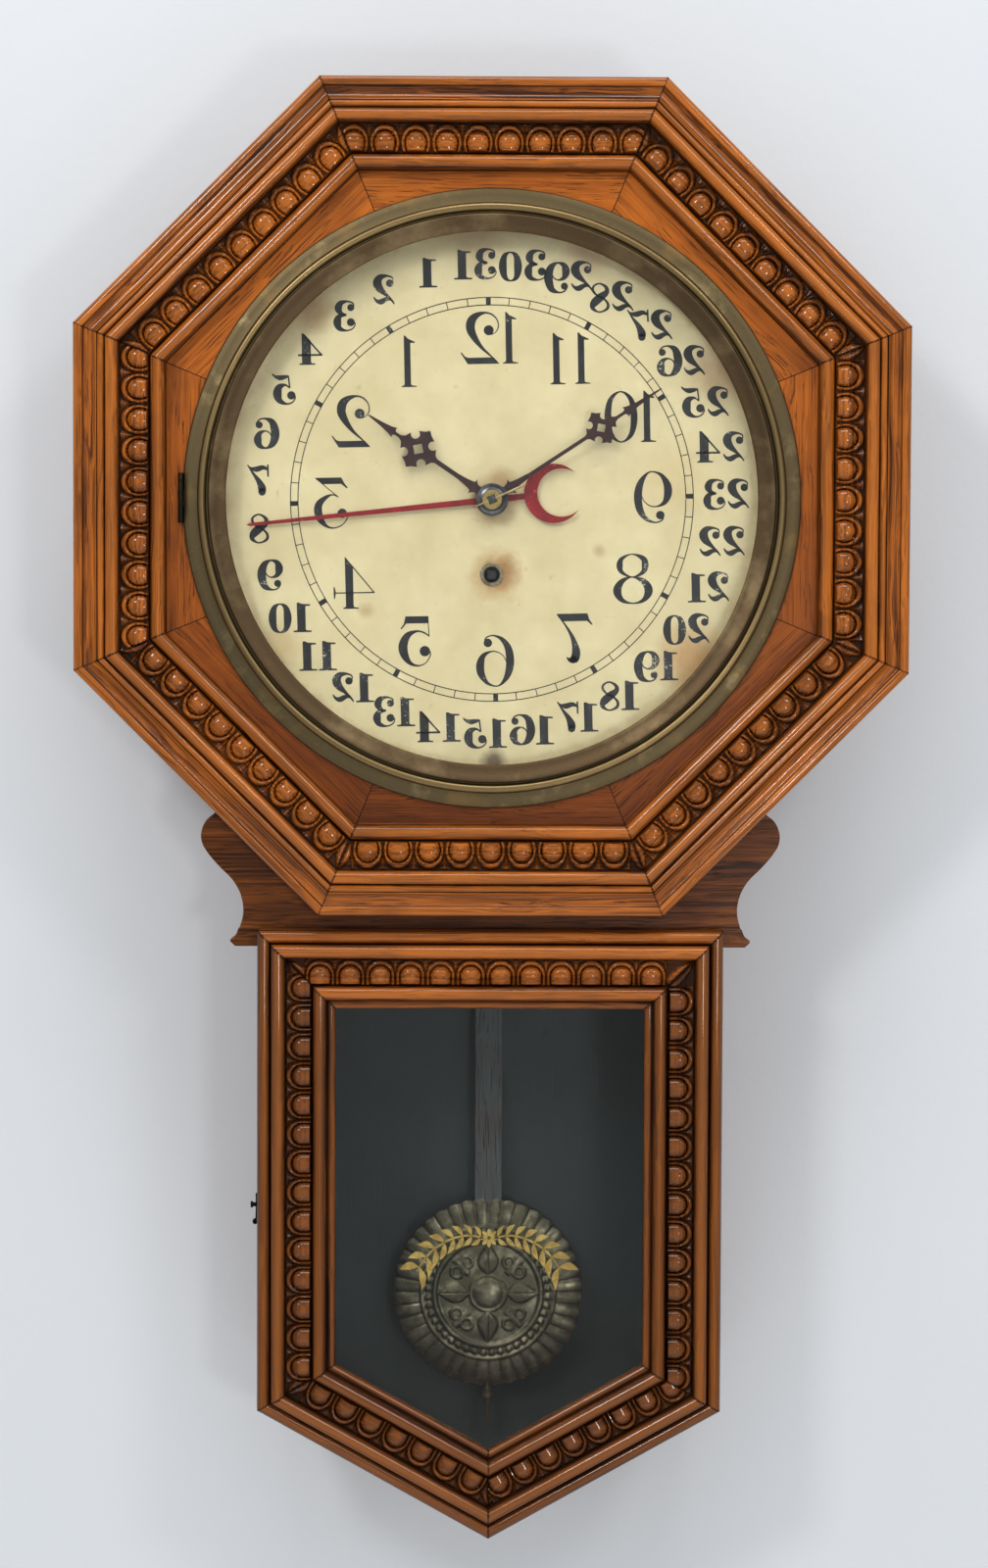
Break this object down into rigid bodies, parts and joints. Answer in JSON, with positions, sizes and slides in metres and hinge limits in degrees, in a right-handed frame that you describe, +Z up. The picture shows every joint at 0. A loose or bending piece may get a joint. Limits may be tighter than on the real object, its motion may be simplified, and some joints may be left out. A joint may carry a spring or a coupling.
{
  "type": "wall clock",
  "caption": "Octagonal drop-case wall clock for a barbershop: reversed dial and hands that run backwards to read right in a mirror, hinged bezel and door, pendulum and working train.",
  "frame": {"origin": "on the wall plane, straight behind the centre of the dial", "axes": "+X to the viewer's right, +Y into the wall, +Z up; the dial faces -Y"},
  "size_m": [0.462, 0.125, 0.8141],
  "materials": {
    "oak": "golden oak with dark stain in the recesses, gloss varnish",
    "oak_panel": "redder oak, satin varnish",
    "pine": "bare pine, aged",
    "brass": "old lacquered brass, olive-brown patina",
    "plate_brass": "clean rolled brass",
    "bob_brass": "pressed brass, polished",
    "steel": "plain steel",
    "spring_steel": "blued steel",
    "black_iron": "black japanned iron",
    "dial_paint": "aged cream paint with black reversed numerals",
    "door_glass": "smoky old glass",
    "bezel_glass": "clear glass",
    "hand_brown": "dark brown, worn",
    "hand_red": "dark red paint"
  },
  "bodies": {
    "case": {"backboard": "pine", "case_side_left": "oak", "case_side_right": "oak", "case_top": "pine", "case_bottom_left": "oak", "case_bottom_right": "oak", "ear_board": "oak", "octagon_panels": "oak_panel", "octagon_mouldings": "oak", "hanger_plate": "steel", "wood_screws": "steel", "movement_cleats": "pine", "case_hinge_leaves": "brass", "hinge_pins": "brass", "dial_pan": "dial_paint", "winding_grommet": "brass", "bezel_hinge_plate": "brass", "back_plate": "plate_brass", "front_plate": "plate_brass", "plate_pillars": "steel", "mainspring": "spring_steel", "suspension_post": "plate_brass"},
    "door": {"door_rail_top": "oak", "door_stile_left": "oak", "door_stile_right": "oak", "door_rail_bottom_left": "oak", "door_rail_bottom_right": "oak", "door_glass": "door_glass", "door_glazing_strips": "oak_panel", "door_hinge_leaves": "brass", "catch_pin": "brass"},
    "hook": {"door_hook": "black_iron"},
    "bezel": {"bezel_ring": "brass", "bezel_glass": "bezel_glass", "bezel_glass_clips": "brass", "bezel_hinge_leaf": "brass"},
    "main": {"main_wheel": "plate_brass"},
    "winding": {"winding_arbor": "steel", "ratchet_wheel": "steel"},
    "click": {"click": "steel"},
    "second": {"second_wheel": "plate_brass"},
    "centre": {"centre_wheel": "plate_brass"},
    "third": {"third_wheel": "plate_brass"},
    "escape": {"escape_wheel": "plate_brass"},
    "verge": {"verge_and_crutch": "steel"},
    "pendulum": {"suspension_spring": "steel", "pendulum_rod": "pine", "pendulum_bob": "bob_brass", "rating_screw": "brass"},
    "rating_nut": {"rating_nut": "brass"},
    "minute": {"minute_arbor": "plate_brass", "minute_hand": "hand_brown", "hand_washer": "brass", "taper_pin": "brass"},
    "minute_wheel": {"minute_wheel": "plate_brass"},
    "hour": {"hour_wheel": "plate_brass", "hour_hand": "hand_brown"},
    "day": {"day_wheel": "plate_brass"},
    "calendar": {"calendar_wheel": "plate_brass", "calendar_hand": "hand_red"}
  },
  "joints": [
    {"name": "door_swing", "type": "hinge", "parent": "case", "child": "door", "pos_m": [0.1296, -0.09675, -0.38], "axis": [0, 0, 1], "range_deg": [0, 90]},
    {"name": "bezel_swing", "type": "hinge", "parent": "case", "child": "bezel", "pos_m": [-0.1724, -0.11, 0], "axis": [0, 0, -1], "range_deg": [0, 100]},
    {"name": "hook_swing", "type": "hinge", "parent": "case", "child": "hook", "pos_m": [-0.1263, -0.084, -0.3805], "axis": [-1, 0, 0], "range_deg": [-60, 40]},
    {"name": "minute_hand_turn", "type": "hinge", "parent": "case", "child": "minute", "pos_m": [0, -0.0726, 0], "axis": [0, -1, 0], "continuous": true},
    {"name": "minute_wheel_turn", "type": "hinge", "parent": "case", "child": "minute_wheel", "pos_m": [-0.02245, -0.0726, 0], "axis": [0, -1, 0], "continuous": true},
    {"name": "hour_hand_turn", "type": "hinge", "parent": "case", "child": "hour", "pos_m": [0, -0.0786, 0], "axis": [0, -1, 0], "continuous": true},
    {"name": "day_wheel_turn", "type": "hinge", "parent": "case", "child": "day", "pos_m": [0.02165, -0.0846, 0], "axis": [0, -1, 0], "continuous": true},
    {"name": "calendar_hand_turn", "type": "hinge", "parent": "case", "child": "calendar", "pos_m": [0, -0.09, 0], "axis": [0, -1, 0], "continuous": true},
    {"name": "third_wheel_turn", "type": "hinge", "parent": "case", "child": "third", "pos_m": [-0.0232, -0.0536, 0.0143], "axis": [0, -1, 0], "continuous": true},
    {"name": "centre_wheel_turn", "type": "hinge", "parent": "case", "child": "centre", "pos_m": [0, -0.0626, 0], "axis": [0, -1, 0], "continuous": true},
    {"name": "escape_wheel_turn", "type": "hinge", "parent": "case", "child": "escape", "pos_m": [0, -0.0427, 0.027], "axis": [0, -1, 0], "continuous": true},
    {"name": "second_wheel_turn", "type": "hinge", "parent": "case", "child": "second", "pos_m": [0.0252, -0.0466, -0.00983], "axis": [0, -1, 0], "continuous": true},
    {"name": "main_wheel_turn", "type": "hinge", "parent": "case", "child": "main", "pos_m": [0, -0.041, -0.0416], "axis": [0, -1, 0], "continuous": true},
    {"name": "winding_turn", "type": "hinge", "parent": "main", "child": "winding", "pos_m": [0, -0.05, -0.0416], "axis": [0, -1, 0], "continuous": true},
    {"name": "click_lift", "type": "hinge", "parent": "main", "child": "click", "pos_m": [0, -0.0431, -0.0241], "axis": [0, 1, 0], "range_deg": [0, 12]},
    {"name": "pendulum_swing", "type": "hinge", "parent": "case", "child": "pendulum", "pos_m": [0, -0.022, 0.046], "axis": [0, -1, 0], "range_deg": [-3, 3]},
    {"name": "verge_rock", "type": "hinge", "parent": "case", "child": "verge", "pos_m": [0, -0.04, 0.046], "axis": [0, -1, 0], "range_deg": [-3, 3]},
    {"name": "rating_nut_turn", "type": "hinge", "parent": "pendulum", "child": "rating_nut", "pos_m": [0, -0.022, -0.5191], "axis": [0, 0, 1], "continuous": true}
  ],
  "couplings": [
    {"joint": "minute_wheel_turn", "follows": "minute_hand_turn", "ratio": -0.33333},
    {"joint": "hour_hand_turn", "follows": "minute_hand_turn", "ratio": 0.083333},
    {"joint": "day_wheel_turn", "follows": "minute_hand_turn", "ratio": -0.041667},
    {"joint": "centre_wheel_turn", "follows": "third_wheel_turn", "ratio": -0.14286},
    {"joint": "escape_wheel_turn", "follows": "third_wheel_turn", "ratio": -10},
    {"joint": "second_wheel_turn", "follows": "third_wheel_turn", "ratio": 0.071429},
    {"joint": "main_wheel_turn", "follows": "third_wheel_turn", "ratio": -0.0089286},
    {"joint": "verge_rock", "follows": "pendulum_swing", "ratio": 1}
  ]
}
